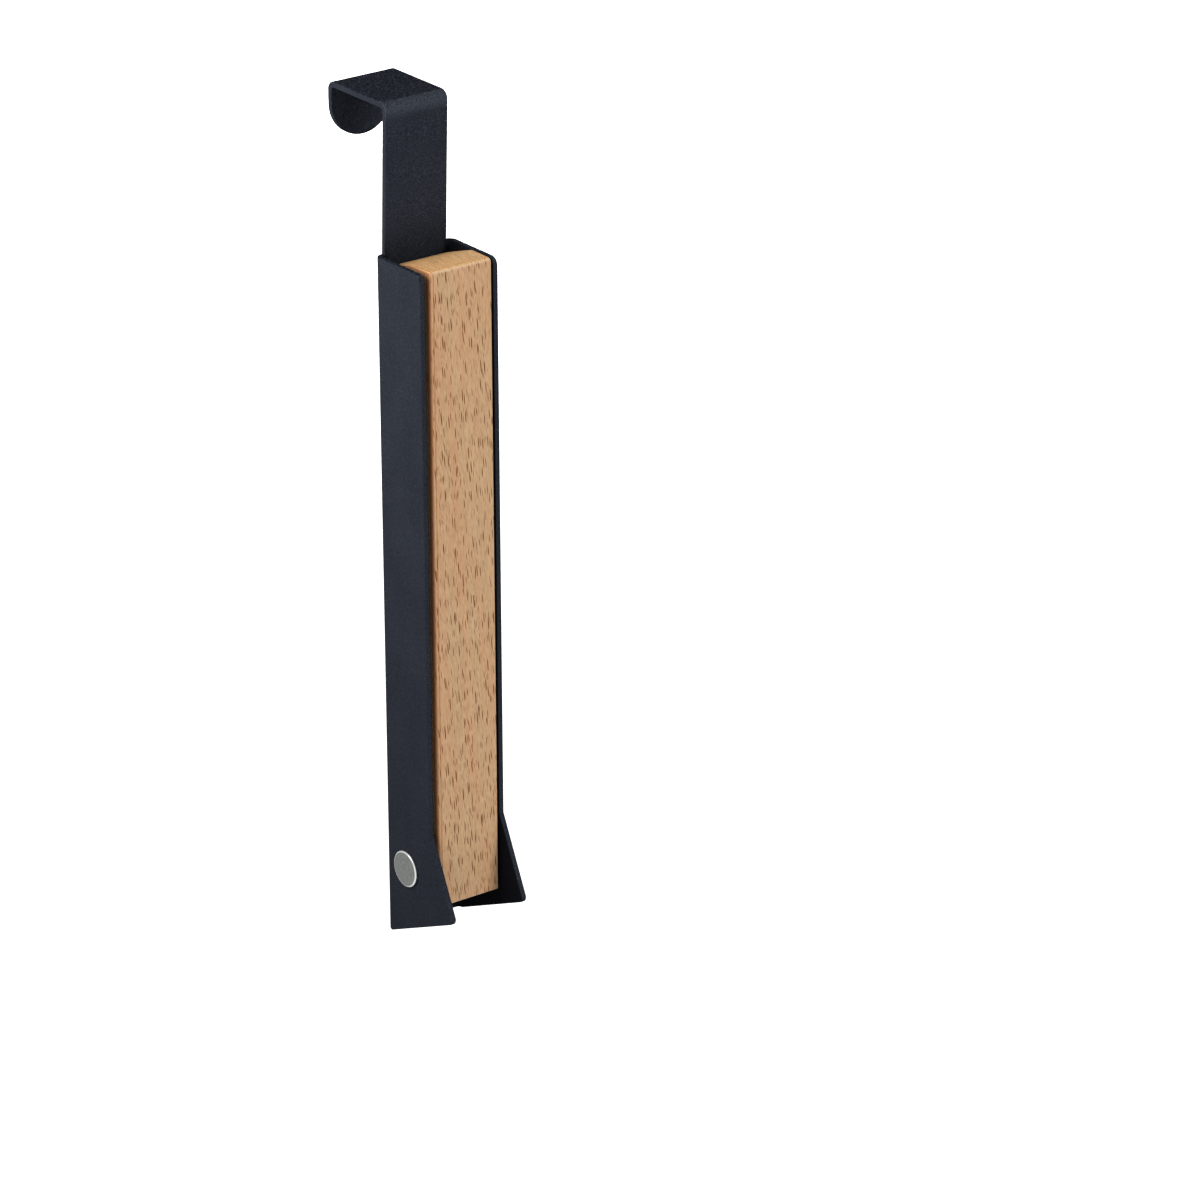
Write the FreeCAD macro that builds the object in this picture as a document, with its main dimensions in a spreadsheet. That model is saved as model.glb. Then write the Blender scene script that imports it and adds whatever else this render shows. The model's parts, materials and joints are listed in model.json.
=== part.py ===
import FreeCAD, Part
import Sketcher
import math
import os

# Over-the-door hanger with a folding beech arm.
#
# A strip of sheet steel hooks over the top of a door and widens below into a channel.
# A toothed beech arm stands folded up in the channel and swings down on a pivot pin
# until its square end meets the channel's back.
#
# Millimetres and degrees. X runs across the door, Y into it and Z up. The origin is
# where the hook rests: the middle of its underside, in the middle of the door's edge.
# Each piece is drawn about the pivot axis and then put in its place.

document = FreeCAD.newDocument("door_hanger")
sizes = document.addObject("Spreadsheet::Sheet", "Sizes")

DRIVING_SIZES = [
    ("sheet_metal", 2.0, "thickness of the bracket's steel"),
    ("bend_inside", 1.25, "inside radius of every bend"),
    ("edge_break", 0.35, "rounding of the bracket's cut edges under the coating"),
    ("door_gap", 27.5, "from the door's face to the inside of the lip"),
    ("strip_width", 25.0, "width of the strip, the hook and the lip"),
    ("strip_lean", 2.2, "degrees that the strip leans to the room"),
    ("strip_straight", 1.5, "how far the strip stands straight above the channel before it leans"),
    ("lip_height", 20.7, "from the hook's top to the lip's round end"),
    ("pivot_drop", 268.2, "from the hook's underside down to the pivot"),
    ("channel_above", 217.8, "from the pivot up to the channel's top"),
    ("channel_depth", 26.3, "from the channel's back to its front edges"),
    ("flare_above", 17.2, "from the pivot up to where the front edges flare"),
    ("flare_below", 11.4, "from the pivot down to the flare's foot"),
    ("flare_angle", 25.0, "degrees that the flare leans to the front"),
    ("foot_slope", 23.6, "degrees that the foot rises to the front"),
    ("top_corner", 3.0, "radius of the flanges' upper corners"),
    ("foot_corner", 2.0, "radius of the flanges' lower corners"),
    ("arm_width", 25.0, "width of the beech arm"),
    ("side_play", 1.25, "gap between the arm and each flange"),
    ("arm_reach", 218.2, "from the pivot to the arm's tip"),
    ("arm_front", 13.4, "from the pivot to the arm's plain face"),
    ("arm_teeth", 10.4, "from the pivot to the crowns of the teeth"),
    ("teeth_gap", 0.8, "from the crowns to the channel's back, arm folded up"),
    ("stop_gap", 0.3, "from the arm's end to the channel's back, arm down"),
    ("tip_flat", 10.5, "height of the tip's flat part"),
    ("tip_slope", 18.0, "degrees that the rest of the tip leans back"),
    ("tip_corner", 1.5, "radius under the tip"),
    ("notch_width", 15.2, "width of a hanger notch"),
    ("notch_depth", 13.0, "depth of a hanger notch"),
    ("notch_pitch", 30.4, "from one notch to the next"),
    ("tip_tooth", 16.4, "length of the last tooth, from the last notch to the tip"),
    ("root_plain", 32.5, "least plain length between the pivot and the first notch"),
    ("magnet_tooth_extra", 1.6, "how much wider the magnet's tooth is"),
    ("tooth_round", 1.8, "radius of the crowns' long edges"),
    ("tip_tooth_round", 3.5, "that radius on the last tooth's right side"),
    ("wood_round", 0.5, "radius of the arm's edges away from the notches"),
    ("magnet_diameter", 6.5, "diameter of the catch magnet"),
    ("magnet_length", 3.0, "length of the catch magnet"),
    ("magnet_proud", 0.5, "how far the magnet stands out of the tooth"),
    ("magnet_edge", 0.25, "bevel round the magnet"),
    ("glue_gap", 0.05, "gap round and under the magnet"),
    ("seat_bevel", 0.35, "bevel round the mouth of the magnet's seat"),
    ("pin_diameter", 6.0, "diameter of the sleeve that the arm turns on"),
    ("running_gap", 0.05, "radial gap of every turning or sliding fit"),
    ("head_diameter", 13.0, "diameter of both pivot heads"),
    ("head_thickness", 1.2, "thickness of both pivot heads"),
    ("head_edge", 0.4, "bevel round both pivot heads"),
    ("screw_diameter", 4.0, "diameter of the screw in the sleeve"),
    ("screw_length", 26.0, "length of the screw under its head"),
    ("thread_runout", 1.0, "how far the sleeve is bored past the screw's end"),
    ("sleeve_short", 0.2, "how far the sleeve ends under the screw's head"),
    ("slot_width", 1.2, "width of the driving slot"),
    ("slot_depth", 0.6, "depth of the driving slot"),
]

for row, (name, size, meaning) in enumerate(DRIVING_SIZES, start=1):
    sizes.set(f"A{row}", meaning)
    sizes.set(f"B{row}", str(size))
    sizes.setAlias(f"B{row}", name)
document.recompute()

# Places that several pieces share, worked out from the sheet
WALL = "Sizes.sheet_metal"
BEND_OUTSIDE = "(Sizes.bend_inside + Sizes.sheet_metal)"
CHANNEL_HALF_INSIDE = "(Sizes.arm_width / 2 + Sizes.side_play)"
CHANNEL_HALF = f"({CHANNEL_HALF_INSIDE} + {WALL})"
CHANNEL_INNER_BACK = "(Sizes.arm_teeth + Sizes.teeth_gap)"
CHANNEL_BACK = f"({CHANNEL_INNER_BACK} + {WALL})"
PIN_RADIUS = "(Sizes.pin_diameter / 2)"
PIN_HOLE_RADIUS = f"({PIN_RADIUS} + Sizes.running_gap)"
SPARE = "5"  # how far a cut runs past what it cuts
RIGHT_ACROSS = f"(2 * {CHANNEL_HALF} + 2 * {SPARE})"  # length of a cut through everything along X


def value(expression):
    """What an expression on the sheet comes to."""
    return float(sizes.evalExpression(expression))


def place(body):
    """Put a piece that was drawn about the pivot where the pivot is."""
    body.setExpression("Placement.Base.y", f"-Sizes.door_gap / 2 - {CHANNEL_BACK}")
    body.setExpression("Placement.Base.z", "-Sizes.pivot_drop")


def new_body(label):
    body = document.addObject("PartDesign::Body", label)
    body.Label = label
    return body


def sketch_on(body, name, role, lift="0"):
    """A sketch on one of the body's origin planes, lifted along the plane's normal."""
    sketch = body.newObject("Sketcher::SketchObject", name)
    plane = [feature for feature in body.Origin.OriginFeatures if feature.Role == role][0]
    sketch.AttachmentSupport = [(plane, "")]
    sketch.MapMode = "FlatFace"
    sketch.setExpression("AttachmentOffset.Base.z", lift)
    return sketch


def tie(sketch, direction, geometry, point, expression):
    """Hold one coordinate of a point at an expression, measured from the origin."""
    number = sketch.addConstraint(
        Sketcher.Constraint(direction, -1, 1, geometry, point, value(expression))
    )
    sketch.setExpression(f"Constraints[{number}]", expression)


def outline(sketch, corners, arcs=None):
    """Draw a closed outline through corners given as pairs of expressions.

    arcs maps a side's number to (centre, anticlockwise, free): that side is an arc about
    centre, and the free coordinate of its far corner, "x" or "y", follows from the circle.
    """
    arcs = arcs or {}
    spots = [FreeCAD.Vector(value(x), value(y), 0) for x, y in corners]
    count = len(corners)
    for side in range(count):
        start = spots[side]
        end = spots[(side + 1) % count]
        if side not in arcs:
            sketch.addGeometry(Part.LineSegment(start, end), False)
            continue
        centre = FreeCAD.Vector(value(arcs[side][0][0]), value(arcs[side][0][1]), 0)
        anticlockwise = arcs[side][1]
        circle = Part.Circle(centre, FreeCAD.Vector(0, 0, 1), (start - centre).Length)
        first, last = (start, end) if anticlockwise else (end, start)
        arc = Part.ArcOfCircle(circle, circle.parameter(first), circle.parameter(last))
        sketch.addGeometry(arc, False)

    def end_of(side, far):
        """Which end of a side is its near or far corner: 1 or 2."""
        forward = side not in arcs or arcs[side][1]
        return 2 if far == forward else 1

    for side in range(count):
        following = (side + 1) % count
        sketch.addConstraint(
            Sketcher.Constraint("Coincident", side, end_of(side, True), following, end_of(following, False))
        )
    for side, (x, y) in enumerate(corners):
        before = (side - 1) % count
        free = arcs[before][2] if before in arcs else ""
        if free != "x":
            tie(sketch, "DistanceX", side, end_of(side, False), x)
        if free != "y":
            tie(sketch, "DistanceY", side, end_of(side, False), y)
    for side, (centre, _, _) in arcs.items():
        tie(sketch, "DistanceX", side, 3, centre[0])
        tie(sketch, "DistanceY", side, 3, centre[1])


def circle_at(sketch, x, y, radius):
    """A circle whose centre and radius are expressions."""
    spot = FreeCAD.Vector(value(x), value(y), 0)
    number = sketch.addGeometry(Part.Circle(spot, FreeCAD.Vector(0, 0, 1), value(radius)), False)
    tie(sketch, "DistanceX", number, 3, x)
    tie(sketch, "DistanceY", number, 3, y)
    constraint = sketch.addConstraint(Sketcher.Constraint("Radius", number, value(radius)))
    sketch.setExpression(f"Constraints[{constraint}]", radius)


def pad(body, name, sketch, length, midplane=False):
    feature = body.newObject("PartDesign::Pad", name)
    feature.Profile = sketch
    feature.Midplane = midplane
    feature.setExpression("Length", length)
    document.recompute()
    return feature


def pocket(body, name, sketch, length, midplane=False, reverse=False):
    """Cut a sketch out of the body, and make sure that it did cut."""
    before = body.Shape.Volume
    feature = body.newObject("PartDesign::Pocket", name)
    feature.Profile = sketch
    feature.Midplane = midplane
    feature.Reversed = reverse
    feature.setExpression("Length", length)
    document.recompute()
    if not feature.Shape.Volume < before:
        raise RuntimeError(f"{name} cuts nothing")
    return feature


def edges_where(body, test):
    """Names of the body's edges whose ends and middle all pass a test on (x, y, z)."""
    names = []
    for number, edge in enumerate(body.Shape.Edges, start=1):
        middle = edge.valueAt((edge.FirstParameter + edge.LastParameter) / 2)
        spots = [vertex.Point for vertex in edge.Vertexes] + [middle]
        if all(test(spot.x, spot.y, spot.z) for spot in spots):
            names.append(f"Edge{number}")
    return names


def soften(body, name, edge_names, radius):
    """Round the named edges of the body as it stands."""
    base = body.Tip
    feature = body.newObject("PartDesign::Fillet", name)
    feature.Base = (base, edge_names)
    feature.setExpression("Radius", radius)
    document.recompute()
    return feature


def bevel(body, name, edge_names, size):
    """Take the named edges of the body as it stands off at 45 degrees."""
    base = body.Tip
    feature = body.newObject("PartDesign::Chamfer", name)
    feature.Base = (base, edge_names)
    feature.setExpression("Size", size)
    document.recompute()
    return feature


def near(a, b):
    return abs(a - b) < 1e-4


def sharp_edges(body, test=lambda x, y, z: True):
    """Names of the edges that turn by over 30 degrees and whose middle passes the test."""
    shape = body.Shape
    names = []
    for number, edge in enumerate(shape.Edges, start=1):
        spot = edge.valueAt((edge.FirstParameter + edge.LastParameter) / 2)
        faces = shape.ancestorsOfType(edge, Part.Face)
        if len(faces) != 2 or not test(spot.x, spot.y, spot.z):
            continue
        normals = [face.normalAt(*face.Surface.parameter(spot)) for face in faces]
        if normals[0].getAngle(normals[1]) > math.radians(30):
            names.append(f"Edge{number}")
    return names


# Bracket: one sheet, bent into a channel below and a hook above

FRONT_Y = f"({CHANNEL_BACK} - Sizes.channel_depth)"
FOOT_Y = f"({FRONT_Y} - (Sizes.flare_above + Sizes.flare_below) * tan(Sizes.flare_angle * 1deg))"
BEND_Y = f"({CHANNEL_BACK} - {BEND_OUTSIDE})"
FOOT_BACK_Z = f"(-Sizes.flare_below - ({BEND_Y} - {FOOT_Y}) * tan(Sizes.foot_slope * 1deg))"
HOOK_TOP_Z = f"(Sizes.pivot_drop + {WALL})"
LIP_Y = f"({CHANNEL_BACK} + Sizes.door_gap)"
LIP_END_Z = f"({HOOK_TOP_Z} - Sizes.lip_height)"


def bend_channel(bracket):
    """The back and both flanges, with the flanges' side outline cut."""
    section = sketch_on(bracket, "ChannelSection", "XY_Plane", FOOT_BACK_Z)
    front = f"{FOOT_Y} - {SPARE}"
    outline(section, [
        (f"-{CHANNEL_HALF}", CHANNEL_BACK),
        (f"-{CHANNEL_HALF}", front),
        (f"-{CHANNEL_HALF_INSIDE}", front),
        (f"-{CHANNEL_HALF_INSIDE}", CHANNEL_INNER_BACK),
        (CHANNEL_HALF_INSIDE, CHANNEL_INNER_BACK),
        (CHANNEL_HALF_INSIDE, front),
        (CHANNEL_HALF, front),
        (CHANNEL_HALF, CHANNEL_BACK),
    ])
    pad(bracket, "Channel", section, f"Sizes.channel_above - {FOOT_BACK_Z}")

    half, half_inside = value(CHANNEL_HALF), value(CHANNEL_HALF_INSIDE)
    back, inner_back = value(CHANNEL_BACK), value(CHANNEL_INNER_BACK)
    inside = edges_where(bracket, lambda x, y, z: near(abs(x), half_inside) and near(y, inner_back))
    soften(bracket, "BendsInside", inside, "Sizes.bend_inside")
    outside = edges_where(bracket, lambda x, y, z: near(abs(x), half) and near(y, back))
    soften(bracket, "BendsOutside", outside, BEND_OUTSIDE)

    side = sketch_on(bracket, "FlangeOutline", "YZ_Plane")
    above = f"Sizes.channel_above + {SPARE}"
    below = f"{FOOT_BACK_Z} - {SPARE}"
    ahead = f"{FOOT_Y} - 2 * {SPARE}"
    outline(side, [
        (FRONT_Y, above),
        (FRONT_Y, "Sizes.flare_above"),
        (FOOT_Y, "-Sizes.flare_below"),
        (BEND_Y, FOOT_BACK_Z),
        (BEND_Y, below),
        (ahead, below),
        (ahead, above),
    ])
    pocket(bracket, "FlangeCut", side, RIGHT_ACROSS, midplane=True)

    front_y, foot_y = value(FRONT_Y), value(FOOT_Y)
    top_z, foot_z = value("Sizes.channel_above"), value("-Sizes.flare_below")
    upper = edges_where(bracket, lambda x, y, z: near(y, front_y) and near(z, top_z))
    soften(bracket, "UpperCorners", upper, "Sizes.top_corner")
    lower = edges_where(bracket, lambda x, y, z: near(y, foot_y) and near(z, foot_z))
    soften(bracket, "LowerCorners", lower, "Sizes.foot_corner")


def bend_hook(hook):
    """The strip goes on up from the channel's back, over the door and down into a lip.

    Its root reaches down inside the channel's back, where the two are one sheet.
    """
    lean = "tan(Sizes.strip_lean * 1deg)"
    slanted_wall = f"{WALL} / cos(Sizes.strip_lean * 1deg)"
    root_z = f"Sizes.channel_above - {SPARE}"
    lean_z = "(Sizes.channel_above + Sizes.strip_straight)"
    under_y = f"{CHANNEL_BACK} - (Sizes.pivot_drop - {lean_z}) * {lean}"
    over_y = f"{CHANNEL_BACK} - {slanted_wall} - ({HOOK_TOP_Z} - {lean_z}) * {lean}"
    mitre_z = f"{lean_z} - {WALL} * tan(Sizes.strip_lean / 2 * 1deg)"
    side = sketch_on(hook, "HookOutline", "YZ_Plane")
    outline(side, [
        (CHANNEL_BACK, root_z),
        (CHANNEL_BACK, lean_z),
        (under_y, "Sizes.pivot_drop"),
        (LIP_Y, "Sizes.pivot_drop"),
        (LIP_Y, LIP_END_Z),
        (f"{LIP_Y} + {WALL}", LIP_END_Z),
        (f"{LIP_Y} + {WALL}", HOOK_TOP_Z),
        (over_y, HOOK_TOP_Z),
        (CHANNEL_INNER_BACK, mitre_z),
        (CHANNEL_INNER_BACK, root_z),
    ])
    pad(hook, "Hook", side, "Sizes.strip_width", midplane=True)

    under_z, top_z = value("Sizes.pivot_drop"), value(HOOK_TOP_Z)
    flat_ends = (value(under_y), value(LIP_Y))
    inside = edges_where(hook, lambda x, y, z: near(z, under_z) and any(near(y, end) for end in flat_ends))
    soften(hook, "HookBendsInside", inside, "Sizes.bend_inside")
    flat_ends = (value(over_y), value(f"{LIP_Y} + {WALL}"))
    outside = edges_where(hook, lambda x, y, z: near(z, top_z) and any(near(y, end) for end in flat_ends))
    soften(hook, "HookBendsOutside", outside, BEND_OUTSIDE)

    # The lip ends in a half circle as wide as the strip
    half = "Sizes.strip_width / 2"
    round_z = f"{LIP_END_Z} + {half}"
    below = f"{LIP_END_Z} - {SPARE}"
    lip = sketch_on(hook, "LipRound", "XZ_Plane", f"-({CHANNEL_BACK} + Sizes.door_gap / 2)")
    corners = [
        (f"-{half}", round_z),
        (f"-{half} - {SPARE}", round_z),
        (f"-{half} - {SPARE}", below),
        (f"{half} + {SPARE}", below),
        (f"{half} + {SPARE}", round_z),
        (half, round_z),
    ]
    outline(lip, corners, arcs={5: (("0", round_z), False, "x")})
    pocket(hook, "LipCut", lip, "Sizes.door_gap")


def drill_pivot(body, name, radius):
    """A hole along the pivot axis through whatever the body has there."""
    hole = sketch_on(body, f"{name}Circle", "YZ_Plane")
    circle_at(hole, "0", "0", radius)
    pocket(body, name, hole, RIGHT_ACROSS, midplane=True)


def make_bracket():
    bracket = new_body("door_bracket")
    bend_channel(bracket)
    soften(bracket, "ChannelEdges", sharp_edges(bracket), "Sizes.edge_break")
    hook = new_body("hook_strip")
    bend_hook(hook)
    soften(hook, "HookEdges", sharp_edges(hook), "Sizes.edge_break")
    one_sheet = bracket.newObject("PartDesign::Boolean", "OneSheet")
    one_sheet.setObjects([hook])
    one_sheet.Type = "Fuse"
    document.recompute()
    drill_pivot(bracket, "PivotHoles", PIN_HOLE_RADIUS)
    place(bracket)
    return bracket


# Arm: one length of beech with six notches between seven teeth

TIP_LEANING = "(Sizes.arm_teeth + Sizes.arm_front - Sizes.tip_flat)"
TIP_TOP_Z = f"(Sizes.arm_reach - {TIP_LEANING} * tan(Sizes.tip_slope * 1deg))"
ARM_END = f"({CHANNEL_INNER_BACK} - Sizes.stop_gap)"
LAST_NOTCH_Z = "(Sizes.arm_reach - Sizes.tip_tooth - Sizes.notch_width / 2)"
ROW_TOP_Z = f"({LAST_NOTCH_Z} - Sizes.notch_pitch - Sizes.magnet_tooth_extra)"
ROW_STEPS = f"floor(({ROW_TOP_Z} - Sizes.notch_width / 2 - Sizes.root_plain) / Sizes.notch_pitch)"
MAGNET_TOOTH_Z = f"(({ROW_TOP_Z} + {LAST_NOTCH_Z}) / 2)"
MAGNET_ROOT_Y = "(Sizes.arm_teeth + Sizes.magnet_proud - Sizes.magnet_length)"


def saw_blank(arm):
    """The arm's side outline, folded up: plain face in front, teeth to the back.

    The end by the pivot is square in front and round behind, so that it swings past the
    channel's back and then rests flat against it.
    """
    side = sketch_on(arm, "SideOutline", "YZ_Plane")
    round_start = f"-sqrt({ARM_END} * {ARM_END} - Sizes.arm_teeth * Sizes.arm_teeth)"
    corners = [
        ("-Sizes.arm_front", f"-{ARM_END}"),
        ("-Sizes.arm_front", "Sizes.arm_reach"),
        ("Sizes.tip_flat - Sizes.arm_front", "Sizes.arm_reach"),
        ("Sizes.arm_teeth", TIP_TOP_Z),
        ("Sizes.arm_teeth", round_start),
        ("0", f"-{ARM_END}"),
    ]
    outline(side, corners, arcs={4: (("0", "0"), False, "y")})
    pad(arm, "Blank", side, "Sizes.arm_width", midplane=True)
    front_y, tip_z = value("-Sizes.arm_front"), value("Sizes.arm_reach")
    under_tip = edges_where(arm, lambda x, y, z: near(y, front_y) and near(z, tip_z))
    soften(arm, "TipCorner", under_tip, "Sizes.tip_corner")


def cut_notch(arm, name, middle):
    """One notch, straight sided with a half-round bottom, across the whole arm."""
    half = "Sizes.notch_width / 2"
    bottom_y = f"Sizes.arm_teeth - Sizes.notch_depth + {half}"
    mouth_y = f"Sizes.arm_teeth + {SPARE}"
    side = sketch_on(arm, f"{name}Outline", "YZ_Plane")
    corners = [
        (mouth_y, f"{middle} - {half}"),
        (mouth_y, f"{middle} + {half}"),
        (bottom_y, f"{middle} + {half}"),
        (bottom_y, f"{middle} - {half}"),
    ]
    outline(side, corners, arcs={2: ((bottom_y, middle), True, "y")})
    return pocket(arm, name, side, RIGHT_ACROSS, midplane=True)


def cut_notches(arm):
    """A row of notches from the magnet's tooth down to the pivot, and one above that tooth."""
    highest = cut_notch(arm, "Notch", ROW_TOP_Z)
    row = arm.newObject("PartDesign::LinearPattern", "NotchRow")
    row.Originals = [highest]
    z_axis = [feature for feature in arm.Origin.OriginFeatures if feature.Role == "Z_Axis"][0]
    row.Direction = (z_axis, [""])
    row.Reversed = True
    row.setExpression("Length", f"{ROW_STEPS} * Sizes.notch_pitch")
    row.setExpression("Occurrences", f"{ROW_STEPS} + 1")
    arm.Tip = row
    document.recompute()
    cut_notch(arm, "LastNotch", LAST_NOTCH_Z)


def round_teeth(arm):
    """Round the crowns' long edges, the one at the right of the last tooth rounder."""
    crown_y, half, last_notch = value("Sizes.arm_teeth"), value("Sizes.arm_width / 2"), value(LAST_NOTCH_Z)

    def crown_edges(test):
        return edges_where(arm, lambda x, y, z: near(y, crown_y) and near(abs(x), half) and test(x, z))

    tip = crown_edges(lambda x, z: x > 0 and z > last_notch)
    soften(arm, "TipToothRight", tip, "Sizes.tip_tooth_round")
    soften(arm, "CrownEdges", crown_edges(lambda x, z: True), "Sizes.tooth_round")


def sand_edges(arm):
    """Round the edges of the front, the tip and the pivot's end; the notches' stay as sawn."""
    notch_half = value("Sizes.notch_width / 2")
    saw_bottom_y = value("Sizes.arm_teeth - Sizes.notch_depth")
    sawn_from = value(f"{ROW_TOP_Z} - {ROW_STEPS} * Sizes.notch_pitch") - notch_half
    sawn_to = value(LAST_NOTCH_Z) + notch_half

    def away_from_notches(x, y, z):
        return y < saw_bottom_y - 1e-4 or z < sawn_from - 1e-4 or z > sawn_to + 1e-4

    soften(arm, "SandedEdges", sharp_edges(arm, away_from_notches), "Sizes.wood_round")


def bore_magnet_seat(arm):
    """A blind hole in the crown of the magnet's tooth, bevelled at its mouth."""
    seat = sketch_on(arm, "MagnetSeatCircle", "XZ_Plane", f"-({MAGNET_ROOT_Y} - Sizes.glue_gap)")
    circle_at(seat, "0", MAGNET_TOOTH_Z, "Sizes.magnet_diameter / 2 + Sizes.glue_gap")
    pocket(arm, "MagnetSeat", seat, f"Sizes.magnet_length + {SPARE}")
    crown_y, tooth_z = value("Sizes.arm_teeth"), value(MAGNET_TOOTH_Z)
    mouth_radius = value("Sizes.magnet_diameter / 2 + Sizes.glue_gap")

    def on_mouth(x, y, z):
        return near(y, crown_y) and near((x * x + (z - tooth_z) ** 2) ** 0.5, mouth_radius)

    bevel(arm, "SeatBevel", edges_where(arm, on_mouth), "Sizes.seat_bevel")


def make_arm():
    arm = new_body("beech_arm")
    saw_blank(arm)
    cut_notches(arm)
    round_teeth(arm)
    sand_edges(arm)
    bore_magnet_seat(arm)
    drill_pivot(arm, "PivotBore", PIN_HOLE_RADIUS)
    place(arm)
    return arm


# Magnet: a small disc glued into its tooth; folded up, it holds to the channel's back

def make_magnet():
    magnet = new_body("catch_magnet")
    disc = sketch_on(magnet, "Disc", "XZ_Plane", f"-{MAGNET_ROOT_Y}")
    circle_at(disc, "0", MAGNET_TOOTH_Z, "Sizes.magnet_diameter / 2")
    turned = pad(magnet, "Magnet", disc, "Sizes.magnet_length")
    turned.Reversed = True
    document.recompute()
    rims = [f"Edge{number}" for number, edge in enumerate(turned.Shape.Edges, start=1) if edge.Closed]
    bevel(magnet, "Rims", rims, "Sizes.magnet_edge")
    place(magnet)
    return magnet


# Pivot: a sleeve with a flat head on the left, closed by a screw with a like head

def turn(body, name, corners):
    """Revolve a half section, given as (along the pivot axis, radius), about that axis."""
    section = sketch_on(body, f"{name}Section", "XZ_Plane")
    outline(section, corners)
    feature = body.newObject("PartDesign::Revolution", name)
    feature.Profile = section
    feature.ReferenceAxis = (section, ["H_Axis"])
    feature.Angle = 360
    document.recompute()
    return feature


def make_sleeve():
    sleeve = new_body("pivot_sleeve")
    face = f"-{CHANNEL_HALF}"
    crown = f"{face} - Sizes.head_thickness"
    rim = "Sizes.head_diameter / 2"
    end = f"{CHANNEL_HALF} - Sizes.sleeve_short"
    bore = "Sizes.screw_diameter / 2 + Sizes.running_gap"
    bore_end = f"{CHANNEL_HALF} - Sizes.screw_length - Sizes.thread_runout"
    turn(sleeve, "Sleeve", [
        (crown, "0"),
        (crown, f"{rim} - Sizes.head_edge"),
        (f"{crown} + Sizes.head_edge", rim),
        (face, rim),
        (face, PIN_RADIUS),
        (end, PIN_RADIUS),
        (end, bore),
        (bore_end, bore),
        (bore_end, "0"),
    ])
    place(sleeve)
    return sleeve


def make_screw():
    screw = new_body("pivot_screw")
    face = CHANNEL_HALF
    crown = f"{face} + Sizes.head_thickness"
    rim = "Sizes.head_diameter / 2"
    shank = "Sizes.screw_diameter / 2"
    end = f"{face} - Sizes.screw_length"
    turn(screw, "Screw", [
        (end, "0"),
        (end, f"{shank} - Sizes.head_edge"),
        (f"{end} + Sizes.head_edge", shank),
        (face, shank),
        (face, rim),
        (f"{crown} - Sizes.head_edge", rim),
        (crown, f"{rim} - Sizes.head_edge"),
        (crown, "0"),
    ])
    slot = sketch_on(screw, "SlotOutline", "YZ_Plane", crown)
    long = "Sizes.head_diameter"
    wide = "Sizes.slot_width / 2"
    outline(slot, [
        (f"-{long}", f"-{wide}"),
        (long, f"-{wide}"),
        (long, wide),
        (f"-{long}", wide),
    ])
    pocket(screw, "Slot", slot, "Sizes.slot_depth")
    place(screw)
    return screw


pieces = [make_bracket(), make_arm(), make_magnet(), make_sleeve(), make_screw()]
document.recompute()

for thing in document.Objects:
    if "Invalid" in thing.State or "Error" in thing.State:
        raise RuntimeError(f"{thing.Name} failed: {thing.State}")
for piece in pieces:
    if piece.Shape.isNull() or not piece.Shape.isValid():
        raise RuntimeError(f"{piece.Label} has no valid shape")

os.makedirs("parts", exist_ok=True)
for piece in pieces:
    piece.Shape.exportStep(f"parts/{piece.Label}.step")
    box = piece.Shape.BoundBox
    print(
        f"{piece.Label}: {len(piece.Shape.Solids)} solid, {piece.Shape.Volume / 1000:.2f} cm3, "
        f"X {box.XMin:.2f} to {box.XMax:.2f}, Y {box.YMin:.2f} to {box.YMax:.2f}, "
        f"Z {box.ZMin:.2f} to {box.ZMax:.2f}"
    )
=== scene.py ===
# %% [markdown]
# # A door hanger with a folding, toothed beech arm
#
# The object hangs over the top of a door. One bent sheet of coated steel makes the hook,
# the strip and the channel below it. A beech arm with notches for clothes hangers turns on
# a pin in the channel's foot: folded up it hides in the channel, and swung down it stands
# out at a right angle. Each piece is made as geometry and has a finish of its own.
#
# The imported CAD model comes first. It gives the frame that every visible piece has to fit:
# the same place, the same size, and a body for each part that moves.

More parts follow.
